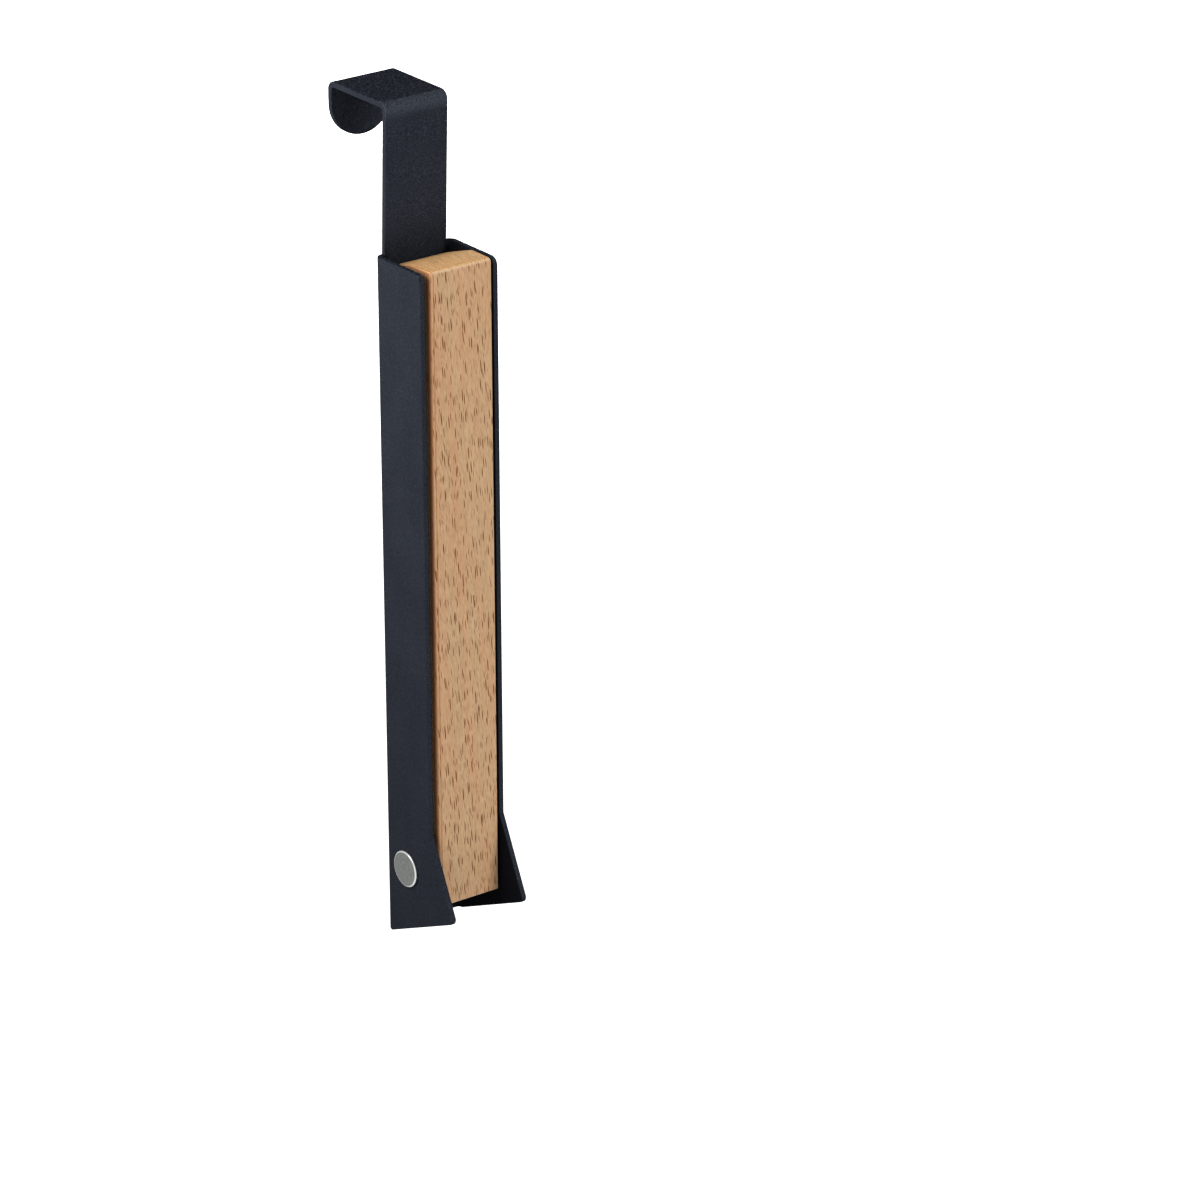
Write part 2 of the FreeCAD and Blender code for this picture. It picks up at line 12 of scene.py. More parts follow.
import bpy
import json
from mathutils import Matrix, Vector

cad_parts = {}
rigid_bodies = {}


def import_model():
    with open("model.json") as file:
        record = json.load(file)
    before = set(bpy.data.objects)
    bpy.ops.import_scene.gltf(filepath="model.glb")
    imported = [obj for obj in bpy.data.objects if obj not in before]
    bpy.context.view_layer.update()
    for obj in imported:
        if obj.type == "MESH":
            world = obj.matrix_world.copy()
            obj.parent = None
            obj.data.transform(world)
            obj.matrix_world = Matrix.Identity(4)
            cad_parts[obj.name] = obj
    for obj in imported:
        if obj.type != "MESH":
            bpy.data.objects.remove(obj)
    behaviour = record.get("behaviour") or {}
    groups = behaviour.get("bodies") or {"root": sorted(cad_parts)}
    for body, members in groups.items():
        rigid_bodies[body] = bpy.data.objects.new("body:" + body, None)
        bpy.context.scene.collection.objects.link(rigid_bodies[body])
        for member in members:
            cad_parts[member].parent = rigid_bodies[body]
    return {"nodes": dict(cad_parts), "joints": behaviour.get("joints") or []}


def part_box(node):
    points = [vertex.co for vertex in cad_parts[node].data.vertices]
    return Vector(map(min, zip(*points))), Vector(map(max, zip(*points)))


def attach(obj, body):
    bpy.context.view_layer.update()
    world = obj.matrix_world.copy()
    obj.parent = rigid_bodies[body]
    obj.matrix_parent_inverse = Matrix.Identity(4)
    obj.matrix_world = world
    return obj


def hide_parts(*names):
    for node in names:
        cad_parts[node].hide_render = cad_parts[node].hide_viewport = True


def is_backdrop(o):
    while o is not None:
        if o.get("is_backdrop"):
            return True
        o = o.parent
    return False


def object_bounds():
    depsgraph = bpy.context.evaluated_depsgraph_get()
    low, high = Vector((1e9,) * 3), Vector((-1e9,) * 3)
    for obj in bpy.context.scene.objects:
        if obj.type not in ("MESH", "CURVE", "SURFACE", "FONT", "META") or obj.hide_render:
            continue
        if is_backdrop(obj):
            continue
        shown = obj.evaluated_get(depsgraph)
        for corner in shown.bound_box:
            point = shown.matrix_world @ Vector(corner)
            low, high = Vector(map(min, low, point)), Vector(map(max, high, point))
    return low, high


for leftover in list(bpy.data.objects):
    bpy.data.objects.remove(leftover)

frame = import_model()
size_at_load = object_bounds()
print("pieces to dress:", sorted(frame["nodes"]))

# %% [markdown]
# Blender works in metres and the object is drawn in millimetres, so one factor turns the
# one into the other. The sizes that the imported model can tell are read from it: then a
# change of the frame moves the visible pieces too. The pin's place comes from the joint.

# %% Sizes read from the frame
import json
import math

import bmesh
from mathutils import Matrix, Vector

MM = 0.001

bracket_low, bracket_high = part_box("door_bracket")
arm_low, arm_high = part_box("beech_arm")
head_low, head_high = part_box("pivot_sleeve")
magnet_low, magnet_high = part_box("catch_magnet")

SHEET = bracket_high.z / MM                    # the hook's underside is at height 0
FLANGE_X = bracket_high.x / MM                 # outer face of the channel's side
LIP_Y = bracket_high.y / MM - SHEET            # the lip's face towards the door
FOOT_Z = bracket_low.z / MM
PIN_Y, PIN_Z = (value / MM for value in frame["joints"][0]["pos_m"][1:])
print(f"sheet {SHEET:.2f}, channel {2 * FLANGE_X:.2f} wide, foot at {FOOT_Z:.2f} mm")
print(f"the pin is at Y {PIN_Y:.2f}, Z {PIN_Z:.2f} mm")

# %% [markdown]
# ## Helpers for shapes
#
# Flat outlines are easiest to write as their sharp corners, with a radius at each corner
# that is rounded, or as arcs. Faces that share corners are joined into one mesh. At the end
# an object with live modifiers is turned into a plain mesh, which is what is kept.

# %% Outlines with rounded corners
def rounded_outline(corners, steps=10):
    """Points of a closed outline from (y, z, radius) corners; an arc replaces each corner
    that has a radius."""
    points = []
    for index, (y, z, radius) in enumerate(corners):
        corner = Vector((y, z))
        if radius == 0:
            points.append((y, z))
            continue
        to_last = (Vector(corners[index - 1][:2]) - corner).normalized()
        to_next = (Vector(corners[(index + 1) % len(corners)][:2]) - corner).normalized()
        half = to_last.angle(to_next) / 2
        centre = corner + (to_last + to_next).normalized() * radius / math.sin(half)
        first = (corner + to_last * radius / math.tan(half) - centre).normalized()
        last = (corner + to_next * radius / math.tan(half) - centre).normalized()
        for step in range(steps + 1):
            point = centre + first.slerp(last, step / steps).normalized() * radius
            points.append(tuple(point))
    return points


def arc(centre, radius, start, end, steps):
    """Points on an arc in a plane, from the angle start to the angle end in degrees."""
    angles = [math.radians(start + (end - start) * step / steps)
              for step in range(steps + 1)]
    return [(centre[0] + radius * math.cos(a), centre[1] + radius * math.sin(a))
            for a in angles]


# %% Faces to objects, and objects to plain meshes
TINY_EDGE = 0.002          # edges shorter than this are scraps of a cut
SHARP = math.radians(50)   # more than between the facets of any bend
EASE_STEPS = 3             # facets across an eased edge


def object_of_faces(name, faces):
    """An object from faces, lists of points in millimetres; shared corners are joined."""
    shape = bmesh.new()
    corners = {}
    for face in faces:
        ring = []
        for point in face:
            key = tuple(round(value, 4) for value in point)
            if key not in corners:
                corners[key] = shape.verts.new([value * MM for value in point])
            ring.append(corners[key])
        shape.faces.new(ring)
    return object_of_shape(name, shape)


def object_of_shape(name, shape):
    """Put a finished bmesh into the scene as an object at the origin."""
    bmesh.ops.recalc_face_normals(shape, faces=shape.faces)
    mesh = bpy.data.meshes.new(name)
    shape.to_mesh(mesh)
    shape.free()
    thing = bpy.data.objects.new(name, mesh)
    bpy.context.collection.objects.link(thing)
    return thing


def make_plain(thing, finish):
    """Turn the object's modifiers into mesh, smooth it and set its finish."""
    for polygon in thing.data.polygons:
        polygon.use_smooth = True
    weld = thing.modifiers.new("No tiny edges", "WELD")
    weld.merge_threshold = TINY_EDGE * MM
    smooth = thing.modifiers.new("Even shading", "WEIGHTED_NORMAL")
    smooth.keep_sharp = True
    evaluated = thing.evaluated_get(bpy.context.evaluated_depsgraph_get())
    mesh = bpy.data.meshes.new_from_object(evaluated)
    thing.modifiers.clear()
    thing.data = mesh
    mesh.name = thing.name
    mesh.materials.clear()
    mesh.materials.append(finish)
    mesh.polygons.foreach_set("material_index", [0] * len(mesh.polygons))
    triangles = sum(len(polygon.vertices) - 2 for polygon in mesh.polygons)
    print(f"{thing.name}: {triangles} triangles")


def ease_edges(thing, radius):
    """Round every edge that is sharper than a bend's facets."""
    bevel = thing.modifiers.new("Eased edges", "BEVEL")
    bevel.width = radius * MM
    bevel.segments = EASE_STEPS
    bevel.limit_method = "ANGLE"
    bevel.angle_limit = SHARP
    bevel.use_clamp_overlap = False


# %% [markdown]
# ## Shader maths as plain Python
#
# A finish is mostly small sums: a distance, a threshold, a mix of two colours. The class
# Wire wraps one output of a node and gives it Python's operators, so that a sum adds the
# Math nodes by itself. Nodes holds the nodes of a material or of the world, and its method
# node makes any other node. Finish is one material with the patterns that lead to it.

# %% Wires and finishes
class Wire:
    """An output of a node; + - * / between it and another, or a number, add Math nodes."""

    def __init__(self, nodes, socket):
        self.nodes = nodes
        self.socket = socket

    def sum(self, operation, first, second=None, clamp=False):
        values = {0: first} if second is None else {0: first, 1: second}
        settings = {"operation": operation, "use_clamp": clamp}
        return self.nodes.node("ShaderNodeMath", settings, values)

    def __add__(self, other):
        return self.sum("ADD", self, other)

    def __radd__(self, other):
        return self.sum("ADD", other, self)

    def __sub__(self, other):
        return self.sum("SUBTRACT", self, other)

    def __rsub__(self, other):
        return self.sum("SUBTRACT", other, self)

    def __mul__(self, other):
        return self.sum("MULTIPLY", self, other)

    def __rmul__(self, other):
        return self.sum("MULTIPLY", other, self)

    def __truediv__(self, other):
        return self.sum("DIVIDE", self, other)

    def __abs__(self):
        return self.sum("ABSOLUTE", self)

    def sine(self):
        return self.sum("SINE", self)

    def clamped(self):
        return self.sum("ADD", self, 0.0, clamp=True)

    def greatest(self, other):
        return self.sum("MAXIMUM", self, other)

    def between(self, low, high):
        """0 up to low, 1 from high on, with a soft step between; low may be the larger."""
        low_is_less = low < high
        ends = (low, high) if low_is_less else (high, low)
        out = (0.0, 1.0) if low_is_less else (1.0, 0.0)
        return self.nodes.node(
            "ShaderNodeMapRange", {"interpolation_type": "SMOOTHSTEP"},
            {"Value": self, "From Min": ends[0], "From Max": ends[1],
             "To Min": out[0], "To Max": out[1]})


def linear(red, green, blue):
    """A colour as seen on a screen, 0 to 255, as the linear colour that a shader takes."""
    parts = []
    for value in (red, green, blue):
        part = value / 255
        parts.append(part / 12.92 if part <= 0.04045 else ((part + 0.055) / 1.055) ** 2.4)
    return (*parts, 1.0)


def new_node(tree, kind, settings):
    """A node in any tree, with its settings."""
    made = tree.nodes.new(kind)
    for setting, value in (settings or {}).items():
        setattr(made, setting, value)
    return made


class Nodes:
    """The nodes of a material or of the world."""

    def __init__(self, tree):
        self.tree = tree
        tree.nodes.clear()

    def node(self, kind, settings=None, sockets=None, out=None):
        """Any node: its settings, then its sockets' values or wires, by name or place."""
        made = new_node(self.tree, kind, settings)
        for key, value in (sockets or {}).items():
            if isinstance(key, int):
                socket = made.inputs[key]
            else:
                socket = next(s for s in made.inputs if s.name == key and s.enabled)
            if isinstance(value, Wire):
                self.tree.links.new(value.socket, socket)
            else:
                socket.default_value = value
        shown = [s for s in made.outputs if s.enabled and (out is None or s.name == out)]
        return Wire(self, shown[0])

    def other(self, wire, name):
        """Another output of the node that a wire comes from."""
        return Wire(self, wire.socket.node.outputs[name])

    def axes(self, vector):
        """The three parts of a vector."""
        x = self.node("ShaderNodeSeparateXYZ", None, {"Vector": vector}, out="X")
        return x, self.other(x, "Y"), self.other(x, "Z")


class Finish(Nodes):
    """One material: its shader, and the patterns that lead to it."""

    def __init__(self, name, **constants):
        self.material = bpy.data.materials.new(name)
        self.material.use_nodes = True
        super().__init__(self.material.node_tree)
        self.shader = self.tree.nodes.new("ShaderNodeBsdfPrincipled")
        output = self.tree.nodes.new("ShaderNodeOutputMaterial")
        self.tree.links.new(self.shader.outputs["BSDF"], output.inputs["Surface"])
        for socket, value in constants.items():
            self.shader.inputs[socket.replace("_", " ")].default_value = value

    def place(self):
        """The point's place on the object, in metres, which doesn't slide in any view."""
        return self.node("ShaderNodeTexCoord", out="Object")

    def looks(self):
        """Which way the surface looks there, as X, Y and Z between -1 and 1."""
        return self.axes(self.node("ShaderNodeTexCoord", out="Normal"))

    def stretched(self, x, y, z, shift=(0.0, 0.0, 0.0), place=None):
        """The place measured in grains of x, y and z millimetres."""
        scale = [1 / (size * MM) for size in (x, y, z)]
        moved = self.vector("ADD", place or self.place(), shift)
        return self.vector("MULTIPLY", moved, scale)

    def vector(self, operation, first, second):
        return self.node("ShaderNodeVectorMath", {"operation": operation},
                         {0: first, 1: second})

    def from_axis(self, centre, kept):
        """The way to the point from an axis through centre, and its length, both in metres;
        kept is 0 along the axis and 1 across it."""
        way = self.vector("MULTIPLY", self.vector("SUBTRACT", self.place(), centre), kept)
        length = self.node("ShaderNodeVectorMath", {"operation": "LENGTH"}, {0: way},
                           out="Value")
        return way, length

    def noise(self, place, detail=2.0, roughness=0.5):
        return self.node("ShaderNodeTexNoise", None,
                         {"Vector": place, "Scale": 1.0, "Detail": detail,
                          "Roughness": roughness}, out="Fac")

    def mix(self, amount, first, second):
        """A colour between two, the first where amount is 0."""
        return self.node("ShaderNodeMix", {"data_type": "RGBA"},
                         {"Factor": amount, "A": first, "B": second}, out="Result")

    def layered(self, colour, *layers):
        """The colour with each layer, an amount and a colour, laid over it in turn."""
        for amount, upper in layers:
            colour = self.mix(amount, colour, upper)
        return colour

    def bump(self, height, depth_mm, strength=1.0):
        """A normal from a height between 0 and 1 that stands for depth_mm."""
        return self.node("ShaderNodeBump", None,
                         {"Height": height, "Distance": depth_mm * MM,
                          "Strength": strength})

    def set(self, **wires):
        """Lead wires to the shader's sockets."""
        for socket, wire in wires.items():
            self.tree.links.new(wire.socket, self.shader.inputs[socket.replace("_", " ")])


# %% [markdown]
# ## The finish of the steel: fine-textured powder coat
#
# Powder coat is sprayed on dry and baked. This one is nearly black with a cool cast, and
# its skin has a fine sandy grain. Two noises make it: a fine one for the sand and a broad,
# weak one for the slow change that no sprayed skin is without. A third, coarser one shows
# only on faces that look up, which are also darkened as painted shade, and the sand's
# contrast there is raised as painted light that grazes the grain. On the hook's front bend
# a painted highlight lightens the grains. The coat is quite matt, so the shader's own
# specular is off.
# Inside the channel the coat is darkened as painted shade: most on the flanges' inner
# sides, less on the back between them.

# %% Powder coat
CHANNEL_TOP_Z = -50.4
INNER_X = FLANGE_X - SHEET             # inner face of the channel's side
CHANNEL_BACK_Y = -LIP_Y - SHEET        # the back's face towards the room

coat = Finish("Powder coat", Specular_IOR_Level=0.0)
sand = coat.noise(coat.stretched(0.5, 0.5, 0.5), detail=3.0, roughness=0.65)
swell = coat.noise(coat.stretched(14, 14, 22), detail=1.0)
coat_looks_x, coat_looks_y, coat_looks_z = coat.looks()
# Sand contrast by the way a face looks, strongest on faces that look up: painted light that
# grazes the grain.
grazing_light_contrast = (0.8 - 0.2 * abs(coat_looks_x) + 0.4 * abs(coat_looks_y)
           + 1.8 * coat_looks_z.between(0.3, 0.9))
coarse = coat.noise(coat.stretched(0.9, 0.9, 0.9), detail=2.0, roughness=0.6)
# Faces that look up are darkened: painted shade, with a coarser grain.
painted_top_shade = coat_looks_z.between(0.5, 0.9)

coat_x, coat_y, coat_z = (part / MM for part in coat.axes(coat.place()))
# Painted highlight on the hook's front bend.
painted_bend_highlight = (coat_z.between(-4.5, -0.5) * coat_y.between(-8, -10)
                 * (0 - coat_looks_y).between(0.05, 0.35))
# Painted shade inside the channel, strongest on the flanges' inner sides.
painted_channel_shade = (abs(coat_x).between(INNER_X + 0.25, INNER_X + 0.03)
          * coat_y.between(CHANNEL_BACK_Y + 0.6, CHANNEL_BACK_Y + 0.1)
          * coat_z.between(CHANNEL_TOP_Z + 12, CHANNEL_TOP_Z - 3))
channel_shade_strength = 0.45 + 0.4 * abs(coat_x).between(INNER_X - 3.5, INNER_X - 1.0)

# The coat's colour, with painted shade on top faces and in the channel and a painted
# highlight on the front bend.
coat_colour = coat.layered(
    coat.mix(swell.between(0.2, 0.8), linear(38, 41, 48), linear(42, 45, 52)),
    (painted_top_shade * coarse.between(0.52, 0.38) * 0.9, linear(22, 25, 30)),
    (painted_top_shade * coarse.between(0.54, 0.68) * 0.6, linear(74, 80, 90)),
    (sand.between(0.5, 0.34) * 0.5 * grazing_light_contrast, linear(20, 22, 26)),
    (sand.between(0.54, 0.68) * 0.4 * grazing_light_contrast, linear(68, 73, 84)),
    (painted_bend_highlight * (0.3 + 0.6 * sand.between(0.4, 0.6)), linear(63, 68, 76)),
    (painted_channel_shade * channel_shade_strength, linear(10, 10, 12)))
coat.set(Base_Color=coat_colour,
         Roughness=0.6 + 0.16 * sand,
         Normal=coat.bump(sand, 0.2, 0.8))
print("powder coat:", len(coat.tree.nodes), "nodes")

# %% [markdown]
# ## The bracket: one bent sheet
#
# On the real object a single blank of 2 mm steel is cut, bent over at the top, and folded
# along both sides into a channel. So the model is a sheet too: one skin of faces, drawn
# where the steel meets the door, and the Solidify modifier gives it its thickness. A solid
# box with cuts would hide that the bends are round inside and outside by the same sheet.
#
# The skin starts with the strip's line from the side: up the channel's back, a lean of
# 2.2 degrees towards the room, over the door, and down the lip.

# %% The strip's line, seen from the side
STRIP_HALF = 12.5          # half the strip's width, and of the lip's round end
BEND = 1.25                # radius inside every bend of the sheet
BEND_STEPS = 8
LEAN_START_Z = CHANNEL_TOP_Z + 1.5
LEAN = math.radians(2.2)
LIP_ROUND_Z = -6.2         # centre of the lip's half-round end

bend_z = -BEND
bend_y = (-LIP_Y - (bend_z - LEAN_START_Z) * math.tan(LEAN)
          + BEND / math.cos(LEAN))
strip_line = [(-LIP_Y, z) for z in (FOOT_Z, PIN_Z, CHANNEL_TOP_Z, LEAN_START_Z)]
strip_line += arc((bend_y, bend_z), BEND, 180 + math.degrees(LEAN), 90, BEND_STEPS)
strip_line += arc((LIP_Y - BEND, -BEND), BEND, 90, 0, BEND_STEPS)
strip_line.append((LIP_Y, LIP_ROUND_Z))
print(f"the strip leans {-LIP_Y - (bend_y - BEND):.2f} mm over its length")

# %% The sheet's skin: strip, lip, bends and flanges
FLANGE_FRONT_Y = -40.05
FLARE_START_Z = -251.0
FLARE_CORNER = (-53.39, -279.6)
BEND_OUT = FLANGE_X - STRIP_HALF       # radius outside the channel's bends
FLANGE_BACK_Y = -LIP_Y - BEND_OUT
TOP_CORNER = 3.0
FOOT_CORNER = 2.0
PIN_HOLE = 3.05            # radius of the sleeve's bore in both flanges and the arm
HOLE_STEPS = 24            # facets in half a hole
LIP_STEPS = 48
SHEET_EASE = 0.35

# The side of the channel is two faces, above and below the pin, each with half of its hole.
flare = (FLARE_CORNER[0] - FLANGE_FRONT_Y) / (FLARE_CORNER[1] - FLARE_START_Z)
flare_y = FLANGE_FRONT_Y + flare * (PIN_Z - FLARE_START_Z)
above_pin = rounded_outline([
    (FLANGE_BACK_Y, PIN_Z, 0), (FLANGE_BACK_Y, CHANNEL_TOP_Z, 0),
    (FLANGE_FRONT_Y, CHANNEL_TOP_Z, TOP_CORNER), (FLANGE_FRONT_Y, FLARE_START_Z, 0),
    (flare_y, PIN_Z, 0)])
above_pin += arc((PIN_Y, PIN_Z), PIN_HOLE, 180, 0, HOLE_STEPS)
below_pin = rounded_outline([
    (flare_y, PIN_Z, 0), (*FLARE_CORNER, FOOT_CORNER), (FLANGE_BACK_Y, FOOT_Z, 0),
    (FLANGE_BACK_Y, PIN_Z, 0)])
below_pin += arc((PIN_Y, PIN_Z), PIN_HOLE, 0, -180, HOLE_STEPS)

skin = []
for (y0, z0), (y1, z1) in zip(strip_line, strip_line[1:]):
    skin.append([(-STRIP_HALF, y0, z0), (STRIP_HALF, y0, z0),
                 (STRIP_HALF, y1, z1), (-STRIP_HALF, y1, z1)])

lip_end = arc((0, LIP_ROUND_Z), STRIP_HALF, 0, -180, LIP_STEPS)
skin.append([(x, LIP_Y, z) for x, z in lip_end])

for side in (-1, 1):
    bend_line = arc((side * STRIP_HALF, FLANGE_BACK_Y), BEND_OUT, 90, 90 - 90 * side,
                    BEND_STEPS)
    for (x0, y0), (x1, y1) in zip(bend_line, bend_line[1:]):
        for low, high in ((FOOT_Z, PIN_Z), (PIN_Z, CHANNEL_TOP_Z)):
            skin.append([(x0, y0, low), (x1, y1, low), (x1, y1, high), (x0, y0, high)])
    for outline in (above_pin, below_pin):
        skin.append([(side * FLANGE_X, y, z) for y, z in outline])

bracket = object_of_faces("sheet_bracket", skin)
channel_back = bracket.data.polygons[0]
if channel_back.normal.y > 0:          # the thickness has to grow towards the room
    bracket.data.flip_normals()
print(f"the skin has {len(skin)} faces")

# %% Thickness and eased edges
thicken = bracket.modifiers.new("Sheet thickness", "SOLIDIFY")
thicken.thickness = SHEET * MM
thicken.offset = 1.0
thicken.use_even_offset = True
thicken.use_quality_normals = True

ease_edges(bracket, SHEET_EASE)
make_plain(bracket, coat.material)
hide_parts("door_bracket")
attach(bracket, "bracket")

# %% [markdown]
# ## The finish of the arm: oiled beech
#
# Beech is told by its flecks. They are its rays, thin sheets of cells that run from the
# heart outwards: here along Y. The front and the teeth's crowns cut across them and show
# short dark spindles, the sides show them flat and faint, and on the end grain they are
# fine lines. One pattern of stretched cells in space gives all three views by itself,
# because each face cuts it in its own direction. The grain leans a little, as in most
# sticks: the flecks run down and to the right.
#
# Under the flecks lie growth rings, stretched fibres and a slow change of colour. The end
# grain, found by the direction that a face looks in, is oranger, with pores and fine lines.
# The eased edges carry a painted highlight. The front's left edge and the tip's are rounded
# more, and their rounding is darkened as painted shade: a painted highlight line runs along
# the middle of the rounding, and the part of it that is turned to the left is painted
# darkest, as shade.

# %% Oiled beech
GRAIN_LEAN = 0.07          # millimetres aside for each one along the arm
RING_SPACING = 2.3

beech = Finish("Oiled beech", Specular_IOR_Level=0.08)
wood_x, wood_y, wood_z = beech.axes(beech.place())
wander = (beech.noise(beech.stretched(9, 30, 40), detail=2.0) - 0.5) * (0.6 * MM)
grain = beech.node("ShaderNodeCombineXYZ", None,
                   {"X": wood_x + wood_z * GRAIN_LEAN + wander, "Y": wood_y, "Z": wood_z})


def along_grain(x, y, z, shift=(0.0, 0.0, 0.0)):
    return beech.stretched(x, y, z, shift, grain)


def rays(width, depth, length, shift, least, most):
    """Flecks as spindles in space: 1 in a fleck's middle, 0 between flecks."""
    near = beech.node("ShaderNodeTexVoronoi", {"feature": "F1"},
                      {"Vector": along_grain(width, depth, length, shift), "Scale": 1.0,
                       "Randomness": 0.7}, out="Distance")
    chance = beech.axes(beech.other(near, "Color"))[0]
    size = least + (most - least) * chance
    return (1 - near / size).between(0.0, 0.25), chance


long_flecks, long_chance = rays(0.75, 16, 9, (0.0, 0.0, 0.0), 0.18, 0.32)
short_flecks, short_chance = rays(0.6, 8, 6, (0.031, 0.0202, 0.043), 0.12, 0.25)

fibres = beech.noise(along_grain(0.35, 0.35, 3), detail=3.0, roughness=0.6)
streaks = beech.noise(along_grain(0.9, 1.2, 16, (0.02, 0.01, 0.0)), detail=2.0)
warmth = beech.noise(along_grain(5, 7, 70, (0.01, 0.02, 0.03)), detail=2.0)
pores = beech.noise(beech.stretched(0.35, 0.35, 3), detail=2.0)
ray_lines = beech.noise(beech.stretched(0.3, 16, 16), detail=2.0)
ring_wave = beech.noise(beech.stretched(16, 8, 80), detail=2.0)
rings = ((wood_y / (RING_SPACING * MM) + ring_wave * 5.0) * math.tau).sine() * 0.5 + 0.5

looks_x, looks_y, looks_z = beech.looks()
end_grain = abs(looks_z).between(0.55, 0.95)
side_grain = abs(looks_x).between(0.55, 0.95)
# Painted highlight along the eased edges.
painted_edge_highlight = (1 - abs(looks_x).greatest(abs(looks_y)).greatest(abs(looks_z))).between(0.03, 0.2)
looks_left = 0 - looks_x
at_tip = wood_z.between(arm_high.z - 3 * MM, arm_high.z - 2 * MM)
# Painted shade on the rounder left edges, a painted highlight line along their middle, and
# the darkest painted shade where they turn left.
painted_gap_shade = looks_left.between(0.03, 0.16) * (0 - looks_y).between(0.0, 0.2).greatest(
    looks_z.between(0.05, 0.3) * at_tip)
painted_deep_shade = looks_left.between(0.62, 0.9) * (1 - 0.3 * at_tip)
painted_highlight_line = looks_left.between(0.2, 0.35) * looks_left.between(0.65, 0.5)

fleck_colour = beech.mix(side_grain, linear(102, 52, 18), linear(164, 116, 80))
fleck_depth = (1 - 0.5 * side_grain) * (1 - 0.6 * end_grain)
# The wood's colour; the last three layers are painted highlight and painted shade.
wood = beech.layered(
    beech.mix(warmth.between(0.35, 0.65), linear(187, 154, 118), linear(191, 149, 112)),
    (streaks.between(0.35, 0.65) * 0.12, linear(170, 130, 94)),
    (fibres.between(0.45, 0.65) * 0.35, linear(216, 182, 143)),
    (fibres.between(0.5, 0.35) * 0.22, linear(156, 112, 74)),
    (rings * (0.08 + 0.3 * end_grain), linear(156, 108, 70)),
    (end_grain * 0.85, linear(226, 180, 124)),
    (end_grain * ray_lines.between(0.5, 0.36) * 0.4, linear(160, 104, 68)),
    (end_grain * pores.between(0.5, 0.35) * 0.6, linear(140, 94, 56)),
    (long_flecks * (0.7 + 0.3 * long_chance) * fleck_depth, fleck_colour),
    (short_flecks * (0.35 + 0.45 * short_chance) * fleck_depth, fleck_colour),
    (painted_edge_highlight * (1 - painted_gap_shade) * 0.4, linear(228, 198, 162)),
    (painted_gap_shade * (1 - 0.85 * painted_highlight_line) * 0.55, linear(140, 78, 36)),
    (painted_gap_shade * painted_deep_shade * 0.6, linear(62, 28, 8)))
grain_height = fibres * 0.6 + (1 - long_flecks) * 0.4
beech.set(Base_Color=wood,
          Roughness=0.48 + 0.14 * fibres + 0.08 * end_grain,
          Normal=beech.bump(grain_height, 0.05, 0.6))
print("beech:", len(beech.tree.nodes), "nodes")

# %% [markdown]
# ## The arm's blank
#
# The arm starts as a planed stick. Its side view is one outline, with a quarter-round end
# that clears the channel's back as the arm swings, and a sloped tip. Before any notch is
# cut, the edges of the side that will carry the teeth are rounded. The order matters: a
# notch that is sawn later then cuts straight through the rounding, as on the real arm.

# %% The planed blank
ARM_HALF = arm_high.x / MM
FRONT_Y = arm_low.y / MM                     # the smooth side, towards the room
CROWN_Y = arm_high.y / MM                    # the teeth's crowns, towards the door
TIP_Z = arm_high.z / MM
END_RADIUS = PIN_Z - arm_low.z / MM          # quarter-round end about the pin
END_STEPS = 20
TIP_FLAT = 10.5                              # level part of the tip, behind the front
TIP_SLOPE = math.radians(18)                 # the rest of it falls towards the crowns
CROWN_ROUND = 1.8
CROWN_STEPS = 9
TIP_CROWN_ROUND = 3.5                        # the last tooth's right edge is rounder
LAST_NOTCH_Z = PIN_Z + 194.2
ROUND_CHANGE = 3                             # above and below the last notch's middle

crown_from_pin = CROWN_Y - PIN_Y
end_angle = -math.degrees(math.acos(crown_from_pin / END_RADIUS))
slope_drop = (CROWN_Y - FRONT_Y - TIP_FLAT) * math.tan(TIP_SLOPE)

end_arc = arc((PIN_Y, PIN_Z), END_RADIUS, -90, end_angle, END_STEPS)
crown = [(CROWN_Y, z) for z in (LAST_NOTCH_Z - ROUND_CHANGE, LAST_NOTCH_Z + ROUND_CHANGE,
                                TIP_Z - slope_drop)]
front = [(FRONT_Y + TIP_FLAT, TIP_Z), (FRONT_Y, TIP_Z), (FRONT_Y, PIN_Z - END_RADIUS)]
blank_outline = end_arc + crown + front
print(f"the blank is {TIP_Z - (PIN_Z - END_RADIUS):.1f} mm long")

blank = bmesh.new()
walls = {}
for side in (-1, 1):
    walls[side] = [blank.verts.new((side * ARM_HALF * MM, y * MM, z * MM))
                   for y, z in blank_outline]
    blank.faces.new(walls[side])
for i in range(len(blank_outline)):
    j = (i + 1) % len(blank_outline)
    blank.faces.new((walls[-1][i], walls[-1][j], walls[1][j], walls[1][i]))
bmesh.ops.recalc_face_normals(blank, faces=blank.faces)


# %% Round the long edges of the toothed side
def edges_between(side, first, last):
    """The edges of one side's outline from corner first to corner last."""
    ring = walls[side]
    return [blank.edges.get((ring[i], ring[i + 1])) for i in range(first, last)]


def round_over(edges, radius):
    bmesh.ops.bevel(blank, geom=edges, offset=radius * MM, offset_type="OFFSET",
                    segments=CROWN_STEPS, profile=0.5, affect="EDGES", clamp_overlap=False)


# On the right the radius changes inside the last notch, where the saw takes it away.
at_last_notch = len(end_arc)
round_over(edges_between(-1, 0, at_last_notch + 2) + edges_between(1, 0, at_last_notch),
           CROWN_ROUND)
round_over(edges_between(1, at_last_notch + 1, at_last_notch + 2), TIP_CROWN_ROUND)
arm = object_of_shape("notched_arm", blank)
print(f"crowns rounded by {CROWN_ROUND} mm, the last one's right edge by "
      f"{TIP_CROWN_ROUND} mm")

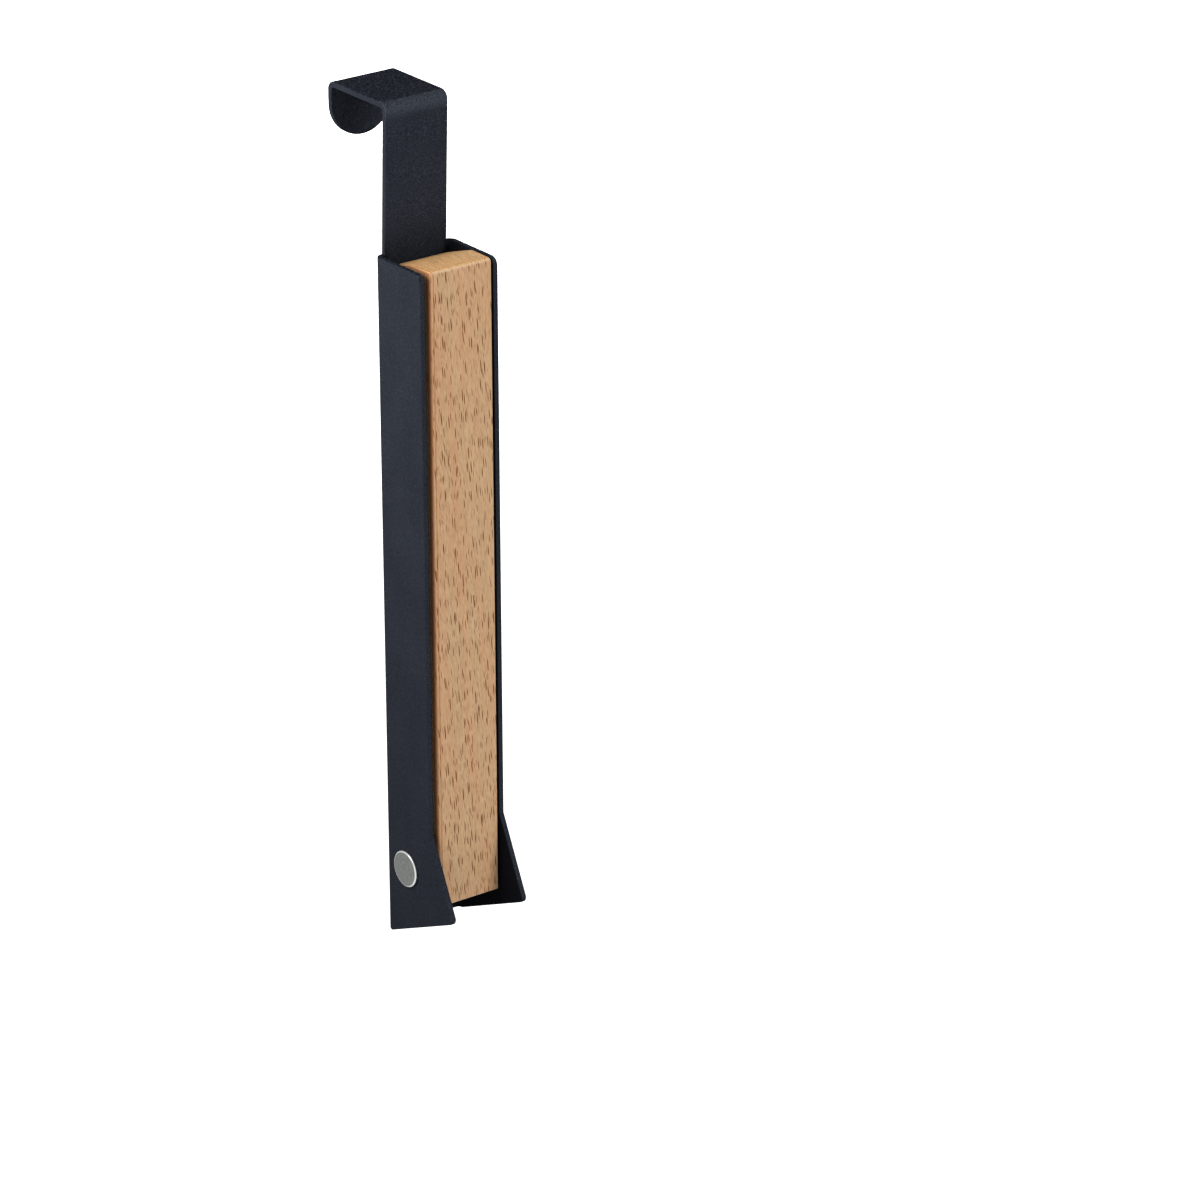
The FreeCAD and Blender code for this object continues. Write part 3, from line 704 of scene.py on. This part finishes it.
# %% [markdown]
# The front's left edge and two edges of the tip are rounded more than the eased edges that
# come later. They meet in one corner. A Bevel modifier that goes by weight makes it: its
# width is the largest radius, and each edge has its own share of that as its weight.

# %% Three rounder edges that meet in a corner
FRONT_LEFT_ROUND = 2.0     # the largest of the three
TIP_LEFT_ROUND = 1.5
TIP_FRONT_ROUND = 1.5
ROUNDER_STEPS = 8
SAME = 0.001               # two places closer than this are the same

X, Y, Z = range(3)
rounder_edges = [(X, -ARM_HALF, Y, FRONT_Y, FRONT_LEFT_ROUND),
                 (X, -ARM_HALF, Z, TIP_Z, TIP_LEFT_ROUND),
                 (Y, FRONT_Y, Z, TIP_Z, TIP_FRONT_ROUND)]
weights = arm.data.attributes.new("bevel_weight_edge", "FLOAT", "EDGE")
for edge in arm.data.edges:
    ends = [arm.data.vertices[corner].co / MM for corner in edge.vertices]
    for axis_one, at_one, axis_two, at_two, radius in rounder_edges:
        if all(abs(end[axis_one] - at_one) < SAME and abs(end[axis_two] - at_two) < SAME
               for end in ends):
            weights.data[edge.index].value = radius / FRONT_LEFT_ROUND
            print(f"edge {edge.index} is rounded by {radius} mm")

rounder = arm.modifiers.new("Rounder edges", "BEVEL")
rounder.width = FRONT_LEFT_ROUND * MM
rounder.segments = ROUNDER_STEPS
rounder.limit_method = "WEIGHT"
rounder.use_clamp_overlap = False

# %% [markdown]
# ## The notches
#
# Six notches with round bottoms take the hangers' hooks. Five are evenly spaced and the one
# at the tip stands a little apart. That is a rule, so Geometry Nodes cut them: a saw-shaped
# solid is drawn once, put on a row of points, and taken away from the blank together with
# the pin's bore and the seat of the magnet. The tree's inputs are named, so that another
# arm could have other notches without a change to the tree.

# %% A small helper for Geometry Nodes
class Tree:
    """A Geometry Nodes tree that is built line by line."""

    def __init__(self, name):
        self.tree = bpy.data.node_groups.new(name, "GeometryNodeTree")
        self.identifiers = {}
        self.socket("Geometry", "NodeSocketGeometry")
        self.inputs = self.tree.nodes.new("NodeGroupInput")

    def socket(self, name, kind):
        """One more input of the tree."""
        made = self.tree.interface.new_socket(name=name, in_out="INPUT", socket_type=kind)
        self.identifiers[name] = made.identifier

    def given(self, name):
        return self.inputs.outputs[name]

    def add(self, kind, settings, sockets):
        """A node: its settings, then its sockets' values or links; gives output 0."""
        made = new_node(self.tree, kind, settings)
        for key, value in sockets.items():
            for item in value if isinstance(value, list) else [value]:
                if isinstance(item, bpy.types.NodeSocket):
                    self.tree.links.new(item, made.inputs[key])
                else:
                    made.inputs[key].default_value = item
        return made.outputs[0]

    def maths(self, operation, first, second):
        return self.add("ShaderNodeMath", {"operation": operation}, {0: first, 1: second})

    def point(self, x, y, z):
        return self.add("ShaderNodeCombineXYZ", None, {"X": x, "Y": y, "Z": z})


# %% The tree that saws the notches
saw = Tree("Saw the notches")
for length in ("Arm width", "Notch width", "Notch bottom", "Crown", "Pitch", "First notch",
               "Last notch", "Pin Y", "Pin Z", "Bore radius", "Seat radius", "Seat bottom",
               "Seat height"):
    saw.socket(length, "NodeSocketFloat")
saw.socket("Even notches", "NodeSocketInt")
saw.socket("Finish", "NodeSocketMaterial")
saw.tree.interface.new_socket(name="Geometry", in_out="OUTPUT",
                              socket_type="NodeSocketGeometry")

QUARTER_TURN = math.radians(90)
BLADE_STEPS = 14                             # facets in each quarter of a notch's bottom
ROD_STEPS = 64
SAME_POINT = 1e-6

through = saw.maths("MULTIPLY", saw.given("Arm width"), 2.0)
blade_height = 4 * ARM_HALF * MM
blade_outline = saw.add("GeometryNodeCurvePrimitiveQuadrilateral", {"mode": "RECTANGLE"},
                        {"Width": saw.given("Notch width"), "Height": blade_height})
half_notch = saw.maths("MULTIPLY", saw.given("Notch width"), 0.5)
blade_outline = saw.add("GeometryNodeFilletCurve", {"mode": "POLY"},
                        {"Curve": blade_outline, "Count": BLADE_STEPS,
                         "Radius": half_notch, "Limit Radius": True})
blade_path = saw.add("GeometryNodeCurvePrimitiveLine", {"mode": "POINTS"},
                     {"Start": saw.point(0.0, 0.0, saw.maths("MULTIPLY", through, -0.5)),
                      "End": saw.point(0.0, 0.0, saw.maths("MULTIPLY", through, 0.5))})
blade = saw.add("GeometryNodeCurveToMesh", None,
                {"Curve": blade_path, "Profile Curve": blade_outline, "Fill Caps": True})
blade = saw.add("GeometryNodeMergeByDistance", None,
                {"Geometry": blade, "Distance": SAME_POINT})
blade = saw.add("GeometryNodeTransform", None,
                {"Geometry": blade, "Rotation": (0.0, QUARTER_TURN, 0.0)})

blade_y = saw.maths("ADD", saw.given("Notch bottom"), blade_height / 2)
even_row = saw.add("GeometryNodeMeshLine", {"mode": "OFFSET"},
                   {"Count": saw.given("Even notches"),
                    "Start Location": saw.point(0.0, blade_y, saw.given("First notch")),
                    "Offset": saw.point(0.0, 0.0, saw.given("Pitch"))})
tip_notch = saw.add("GeometryNodeMeshLine", {"mode": "OFFSET"},
                    {"Count": 1,
                     "Start Location": saw.point(0.0, blade_y, saw.given("Last notch"))})
notch_places = saw.add("GeometryNodeJoinGeometry", None, {0: [tip_notch, even_row]})
blades = saw.add("GeometryNodeInstanceOnPoints", None,
                 {"Points": notch_places, "Instance": blade})
blades = saw.add("GeometryNodeRealizeInstances", None, {"Geometry": blades})


def drill(radius, depth, rotation, y, z):
    """A rod to take away: it stands upright, is turned by rotation and is put at y, z."""
    rod = saw.add("GeometryNodeMeshCylinder", None,
                  {"Vertices": ROD_STEPS, "Radius": radius, "Depth": depth})
    return saw.add("GeometryNodeTransform", None,
                   {"Geometry": rod, "Rotation": rotation,
                    "Translation": saw.point(0.0, y, z)})


seat_depth = saw.maths("SUBTRACT", saw.given("Crown"), saw.given("Seat bottom"))
bore = drill(saw.given("Bore radius"), through, (0.0, QUARTER_TURN, 0.0),
             saw.given("Pin Y"), saw.given("Pin Z"))
seat = drill(saw.given("Seat radius"), saw.maths("MULTIPLY", seat_depth, 2.0),
             (QUARTER_TURN, 0.0, 0.0), saw.given("Crown"), saw.given("Seat height"))

cut = saw.add("GeometryNodeMeshBoolean", {"operation": "DIFFERENCE", "solver": "EXACT"},
              {"Mesh 1": saw.given("Geometry"), "Mesh 2": [blades, bore, seat]})
cut = saw.add("GeometryNodeRealizeInstances", None, {"Geometry": cut})
cut = saw.add("GeometryNodeSetMaterial", None,
              {"Geometry": cut, "Material": saw.given("Finish")})
saw.tree.links.new(cut, saw.tree.nodes.new("NodeGroupOutput").inputs["Geometry"])
print("the saw tree has", len(saw.tree.nodes), "nodes")

# %% Saw the arm, then ease its edges
NOTCH_WIDTH = 15.2
NOTCH_DEPTH = 13.0
NOTCH_PITCH = 30.4
EVEN_NOTCHES = 5
FIRST_NOTCH_Z = PIN_Z + 40.6
MAGNET_RADIUS = (magnet_high.x - magnet_low.x) / 2 / MM
MAGNET_Z = (magnet_high.z + magnet_low.z) / 2 / MM
SEAT_ROOM = 0.05           # round the magnet
SEAT_FLOOR = 0.02          # and under it
WOOD_EASE = 0.4
SIDE_PLAY = 0.35           # the arm rests a little right of the channel's middle

saw_inputs = {
    "Arm width": 2 * ARM_HALF, "Notch width": NOTCH_WIDTH, "Crown": CROWN_Y,
    "Notch bottom": CROWN_Y - NOTCH_DEPTH, "Pitch": NOTCH_PITCH,
    "First notch": FIRST_NOTCH_Z, "Last notch": LAST_NOTCH_Z, "Pin Y": PIN_Y,
    "Pin Z": PIN_Z, "Bore radius": PIN_HOLE, "Seat radius": MAGNET_RADIUS + SEAT_ROOM,
    "Seat bottom": magnet_low.y / MM - SEAT_FLOOR, "Seat height": MAGNET_Z}
sawing = arm.modifiers.new("Saw the notches", "NODES")
sawing.node_group = saw.tree
for name, millimetres in saw_inputs.items():
    sawing[saw.identifiers[name]] = millimetres * MM
sawing[saw.identifiers["Even notches"]] = EVEN_NOTCHES
sawing[saw.identifiers["Finish"]] = beech.material

ease_edges(arm, WOOD_EASE)
make_plain(arm, beech.material)
arm.data.transform(Matrix.Translation((SIDE_PLAY * MM, 0, 0)))
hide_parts("beech_arm")
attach(arm, "arm")

# %% [markdown]
# ## Turned pieces: magnet, sleeve and screw
#
# What is round is turned. A profile of radii and heights is spun about its axis, with a
# single point at each pole so that the solid is closed. The same helper makes the magnet
# and both heads of the pivot.

# %% A lathe
def turned(name, profile, axis, foot, steps=96):
    """A closed solid from (radius, height) points in millimetres; the first and the last
    have radius 0. axis turns the Z axis to the piece's own, foot is where height is 0."""
    shape = bmesh.new()
    rings = []
    for radius, height in profile:
        count = 1 if radius == 0 else steps
        ring = []
        for k in range(count):
            a = math.tau * k / steps
            point = Vector((radius * math.cos(a), radius * math.sin(a), height))
            ring.append(shape.verts.new((axis @ point + Vector(foot)) * MM))
        rings.append(ring)
    for lower, upper in zip(rings, rings[1:]):
        for k in range(steps):
            n = (k + 1) % steps
            corners = [lower[k % len(lower)], lower[n % len(lower)],
                       upper[n % len(upper)], upper[k % len(upper)]]
            shape.faces.new(list(dict.fromkeys(corners)))
    return object_of_shape(name, shape)


def rounded_rim(radius, height, corner, steps=6):
    """The points of a rounded outer edge at the top of a turned piece."""
    return arc((radius - corner, height - corner), corner, 0, 90, steps)


# %% [markdown]
# ### The catch magnet
#
# A disc 6.5 mm across sits in the crown of the sixth tooth and stands half a millimetre
# proud. When the arm is folded up it clings to the steel. It is plated: a satin face with
# faint scratches in all directions, darker towards the rim.

# %% Magnet and its plating
MAGNET_EASE = 0.35

plating = Finish("Satin plating", Metallic=1.0)
magnet_middle = (SIDE_PLAY * MM, magnet_high.y, MAGNET_Z * MM)
from_middle = plating.from_axis(magnet_middle, (1.0, 0.0, 1.0))[1] / (MAGNET_RADIUS * MM)
rub_one = plating.noise(plating.stretched(0.08, 0.5, 1.6), detail=3.0)
rub_two = plating.noise(plating.stretched(1.5, 0.5, 0.09), detail=3.0)
rub = rub_one * 0.5 + rub_two * 0.5
specks = plating.noise(plating.stretched(0.25, 0.25, 0.25), detail=2.0)
plate_colour = plating.layered(
    plating.mix(rub.between(0.35, 0.65), linear(120, 127, 135), linear(148, 153, 158)),
    (specks.between(0.48, 0.34) * 0.5, linear(74, 80, 90)),
    (from_middle.between(0.82, 0.98) * 0.4, linear(78, 84, 94)))
plating.set(Base_Color=plate_colour, Roughness=0.42 + 0.2 * rub,
            Normal=plating.bump(rub, 0.01, 0.3))
print("plating:", len(plating.tree.nodes), "nodes")

TO_DOOR = Matrix.Rotation(math.radians(-90), 3, "X")
magnet_length = (magnet_high.y - magnet_low.y) / MM
magnet_profile = [(0, 0), (MAGNET_RADIUS, 0)]
magnet_profile += rounded_rim(MAGNET_RADIUS, magnet_length, MAGNET_EASE)
magnet_profile.append((0, magnet_length))
magnet = turned("magnet_disc", magnet_profile, TO_DOOR, (0, magnet_low.y / MM, MAGNET_Z))
make_plain(magnet, plating.material)
magnet.data.transform(Matrix.Translation((SIDE_PLAY * MM, 0, 0)))
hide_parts("catch_magnet")
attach(magnet, "arm")

# %% [markdown]
# ### The pivot: a sleeve and the screw that closes it
#
# The head on the left is flat and satin, with a bright rim where the lathe took the last
# cut; the rim and the head's wall also carry a painted highlight, brightest where they look
# to the room and up. The face carries the fine circles of turning. Circles and rim depend
# only on the place round the pin's axis, so the same finish fits the head on the other side.
# The screw's head has a slot.

# %% Turned steel
HEAD_RADIUS = (head_high.z - head_low.z) / 2 / MM
CIRCLE_PITCH = 0.16
RIM_START, RIM_FULL, RIM_END = 5.85, 6.05, 6.4         # then comes the head's wall
ROOM_SHARE, UP_SHARE = 0.85, 0.5                       # where the rim is brightest

steel = Finish("Turned steel", Metallic=1.0)
from_pin, reach = steel.from_axis((0.0, PIN_Y * MM, PIN_Z * MM), (0.0, 1.0, 1.0))
reach = reach / MM
chatter = steel.noise(steel.stretched(2.5, 2.5, 2.5), detail=2.0)
circles = ((reach / CIRCLE_PITCH + chatter * 1.5) * math.tau).sine() * 0.5 + 0.5
cloud = steel.noise(steel.stretched(1.2, 1.2, 1.2), detail=3.0)
rim = reach.between(RIM_START, RIM_FULL) * reach.between(HEAD_RADIUS, RIM_END)
wall = reach.between(RIM_END, HEAD_RADIUS)
out_y, out_z = steel.axes(from_pin)[1:]
# Painted highlight on the rim and the head's wall, brightest where they look to the room and
# up.
painted_highlight_side = ((UP_SHARE * out_z - ROOM_SHARE * out_y) / (reach * MM)).between(-0.8, 0.5)
steel_colour = steel.layered(
    steel.mix(cloud.between(0.3, 0.7), linear(102, 105, 103), linear(116, 118, 114)),
    (circles * 0.2, linear(99, 102, 99)),
    (rim * (0.15 + 0.65 * painted_highlight_side), linear(208, 211, 210)),
    (wall * (0.2 + 0.8 * painted_highlight_side), linear(248, 249, 246)))
steel.set(Base_Color=steel_colour,
          Roughness=0.46 + 0.06 * cloud - 0.24 * rim - 0.26 * wall,
          Normal=steel.bump(circles, 0.006, 0.35))
print("turned steel:", len(steel.tree.nodes), "nodes")

# %% Sleeve and screw
HEAD_HEIGHT = -FLANGE_X - head_low.x / MM
HEAD_EASE = 0.4
HEAD_CHAMFER = 0.15        # on the side that lies on the flange
RIM_DROP = 0.04            # the face falls this much to its rim
HALFWAY_DROP = 0.01        # and this much on half the way there
PIN_RADIUS = 3.0
SHANK_RADIUS = 2.0
SHANK_LENGTH = 26.0
SLEEVE_SHORTER = 0.2       # the sleeve ends this much inside the other flange's face
SLOT_WIDTH = 1.2
SLOT_DEPTH = 0.6
SLOT_LENGTH = 20           # past both sides of the head


def pivot_head(name, side, stem_radius, stem_length):
    """A flat head with a rounded rim and a very slight dome, and its stem behind it."""
    profile = [(0, -stem_length), (stem_radius, -stem_length), (stem_radius, 0),
               (HEAD_RADIUS - HEAD_CHAMFER, 0), (HEAD_RADIUS, HEAD_CHAMFER)]
    profile += rounded_rim(HEAD_RADIUS, HEAD_HEIGHT - RIM_DROP, HEAD_EASE)
    profile += [(HEAD_RADIUS * 0.5, HEAD_HEIGHT - HALFWAY_DROP), (0, HEAD_HEIGHT)]
    outward = Matrix.Rotation(math.radians(90 * side), 3, "Y")
    return turned(name, profile, outward, (side * FLANGE_X, PIN_Y, PIN_Z))


sleeve = pivot_head("sleeve_head", -1, PIN_RADIUS, 2 * FLANGE_X - SLEEVE_SHORTER)
make_plain(sleeve, steel.material)
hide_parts("pivot_sleeve")
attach(sleeve, "bracket")

screw = pivot_head("slotted_screw", 1, SHANK_RADIUS, SHANK_LENGTH)
slot_shape = bmesh.new()
slot_place = Matrix.Translation(((FLANGE_X + HEAD_HEIGHT) * MM, PIN_Y * MM, PIN_Z * MM))
slot_size = Matrix.Diagonal((2 * SLOT_DEPTH * MM, SLOT_LENGTH * MM, SLOT_WIDTH * MM, 1))
bmesh.ops.create_cube(slot_shape, size=1.0, matrix=slot_place @ slot_size)
slot_cutter = object_of_shape("slot_cutter", slot_shape)
slot = screw.modifiers.new("Slot", "BOOLEAN")
slot.operation = "DIFFERENCE"
slot.solver = "EXACT"
slot.object = slot_cutter
make_plain(screw, steel.material)
bpy.data.objects.remove(slot_cutter)
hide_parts("pivot_screw")
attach(screw, "bracket")

# %% [markdown]
# ## Floor and background
#
# The object hangs, so the floor lies well below it and only its white shows in the picture.
# Floor and world are white to the camera and to shiny surfaces through Light Path, at a
# strength of 1, and light the object at their own plain level: a white background never
# needs more light on the object.

# %% White to the camera, plain to the light
def light_path(nodes):
    """1 for rays of the camera, of mirrors and of glass, 0 for the rays that light."""
    camera_ray = nodes.node("ShaderNodeLightPath", out="Is Camera Ray")
    shown = camera_ray + nodes.other(camera_ray, "Is Glossy Ray")
    return (shown + nodes.other(camera_ray, "Is Transmission Ray")).clamped()


FLOOR_HALF = 4000
FLOOR_Z = FOOT_Z - 300

floor_corners = ((-1, -1), (1, -1), (1, 1), (-1, 1))
floor = object_of_faces("floor", [[(x * FLOOR_HALF, y * FLOOR_HALF, FLOOR_Z)
                                   for x, y in floor_corners]])
paint = Finish("Pale floor", Roughness=0.9, Specular_IOR_Level=0.0, Emission_Strength=1.0)
mottle = paint.noise(paint.stretched(300, 300, 300), detail=2.0)
paint.set(Base_Color=paint.mix(mottle, linear(226, 226, 226), linear(232, 232, 232)),
          Emission_Color=paint.mix(light_path(paint), (0.0, 0.0, 0.0, 1.0),
                                   (0.75, 0.75, 0.75, 1.0)))
floor.data.materials.append(paint.material)
if floor.data.polygons[0].normal.z < 0:
    floor.data.flip_normals()
floor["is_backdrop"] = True

WORLD_LEVEL = 0.4          # the strength of the white that lights the object
world = bpy.data.worlds.new("Studio")
bpy.context.scene.world = world
world.use_nodes = True
sky = Nodes(world.node_tree)
strength = WORLD_LEVEL + (1 - WORLD_LEVEL) * light_path(sky)
air = sky.node("ShaderNodeBackground", None,
               {"Color": (1.0, 1.0, 1.0, 1.0), "Strength": strength})
outlet = sky.tree.nodes.new("ShaderNodeOutputWorld")
sky.tree.links.new(air.socket, outlet.inputs["Surface"])
print(f"the floor is at {FLOOR_Z:.0f} mm, the world lights at {WORLD_LEVEL}")

# %% [markdown]
# ## Soft studio light
#
# Four soft lamps do what a product studio's do. The key stands in front on the right and
# not very high, so that the arm's front is the brightest plane. A broad, weak fill on the
# left lights the flange, and a small lamp near the hook lights its upper end, because the
# flange darkens slowly downwards in the photo. The last one stands behind, lower than the
# hook's top, and keeps the back from being black. Together with the world they light a
# plane at about its written colour.

# %% Lamps
def soft_lamp(name, place, size, watts, target=(0.0, -0.02, -0.15)):
    data = bpy.data.lights.new(name, "AREA")
    data.shape = "RECTANGLE"
    data.size = size
    data.size_y = size
    data.energy = watts
    lamp = bpy.data.objects.new(name, data)
    bpy.context.collection.objects.link(lamp)
    lamp.location = place
    lamp.visible_camera = False
    aim = Vector(target) - Vector(place)
    lamp.rotation_euler = aim.to_track_quat("-Z", "Y").to_euler()
    lamp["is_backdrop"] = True
    print(f"{name} lamp: {watts} W from a square of {size} m")


soft_lamp("key", (0.77, -1.76, 0.84), 1.0, 28)
soft_lamp("fill", (-1.9, -0.8, -0.15), 1.0, 4)
soft_lamp("back", (0.8, 1.8, -0.3), 0.5, 20)
soft_lamp("side", (-0.3, 0.0, 0.03), 0.2, 1.4, target=(-0.016, 0.0, -0.05))

# %% [markdown]
# ## The camera
#
# It stands where the photographer's stood: to the left, a little above, and almost two
# metres away with a long lens. Its place and its three directions were found by matching
# the object's corners, so they are written out as they came.

# %% Camera
PLACE = Vector((-1.03264, -1.49493, 0.57803))
RIGHT = Vector((0.79945, -0.60072, -0.00363))
UP = Vector((0.23467, 0.30673, 0.92241))
FORWARD = Vector((0.55300, 0.73828, -0.38619))

lens = bpy.data.cameras.new("camera")
lens.lens = 173.2
lens.sensor_width = 36.0
lens.clip_start = 0.05
camera = bpy.data.objects.new("camera", lens)
bpy.context.collection.objects.link(camera)
turn = Matrix((RIGHT, UP, -FORWARD)).transposed().to_4x4()
camera.matrix_world = Matrix.Translation(PLACE) @ turn
bpy.context.scene.camera = camera
bpy.context.scene.view_settings.view_transform = "Standard"
print(f"the camera stands {PLACE.length:.2f} m away, with a lens of {lens.lens:.1f} mm")

# %% The size at load and now
size_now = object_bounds()
for label, (low, high) in (("at load", size_at_load), ("now", size_now)):
    print(label, [round(v / MM, 2) for v in (*low, *high)])
